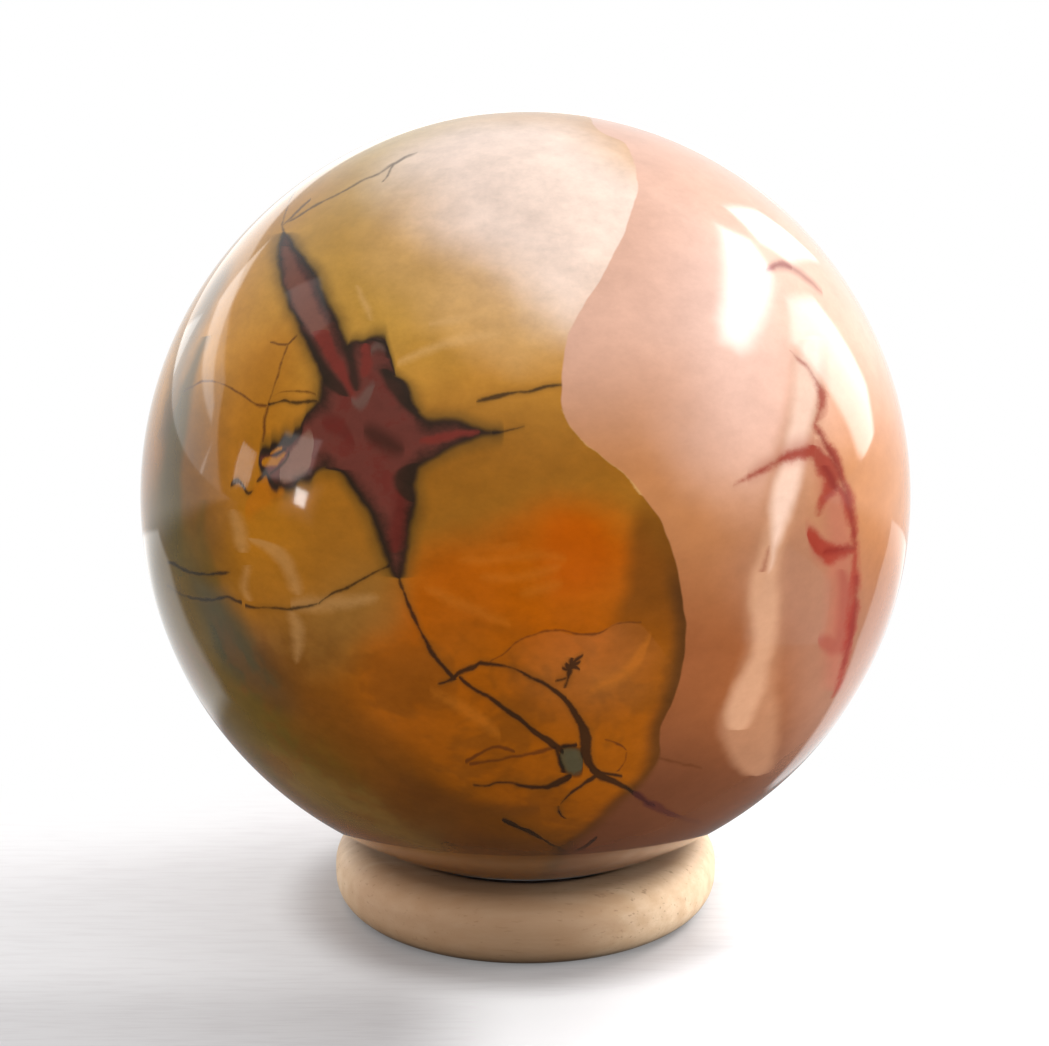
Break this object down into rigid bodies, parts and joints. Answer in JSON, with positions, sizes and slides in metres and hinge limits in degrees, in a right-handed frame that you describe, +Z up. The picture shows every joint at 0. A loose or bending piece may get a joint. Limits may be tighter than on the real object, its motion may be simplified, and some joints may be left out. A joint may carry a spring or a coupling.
{
  "type": "polished jasper sphere on a ring stand",
  "caption": "Polished mookaite jasper ball resting on a low turned ring of pale wood that keeps it from rolling.",
  "frame": {"origin": "on the surface that the ring stands on, directly under the centre of the ball", "axes": "+Z up, the axis that the ring and the ball share; -Y is the front, the side that the picture looks at; +X is to the picture's right"},
  "size_m": [0.075, 0.075, 0.0797],
  "materials": {
    "jasper": "high polish, mustard, cream and dusty pink zones with maroon and black veins",
    "pale_wood": "fine sanded, unvarnished"
  },
  "bodies": {
    "root": {"jasper_sphere": "jasper", "ring_stand": "pale_wood"}
  },
  "joints": []
}
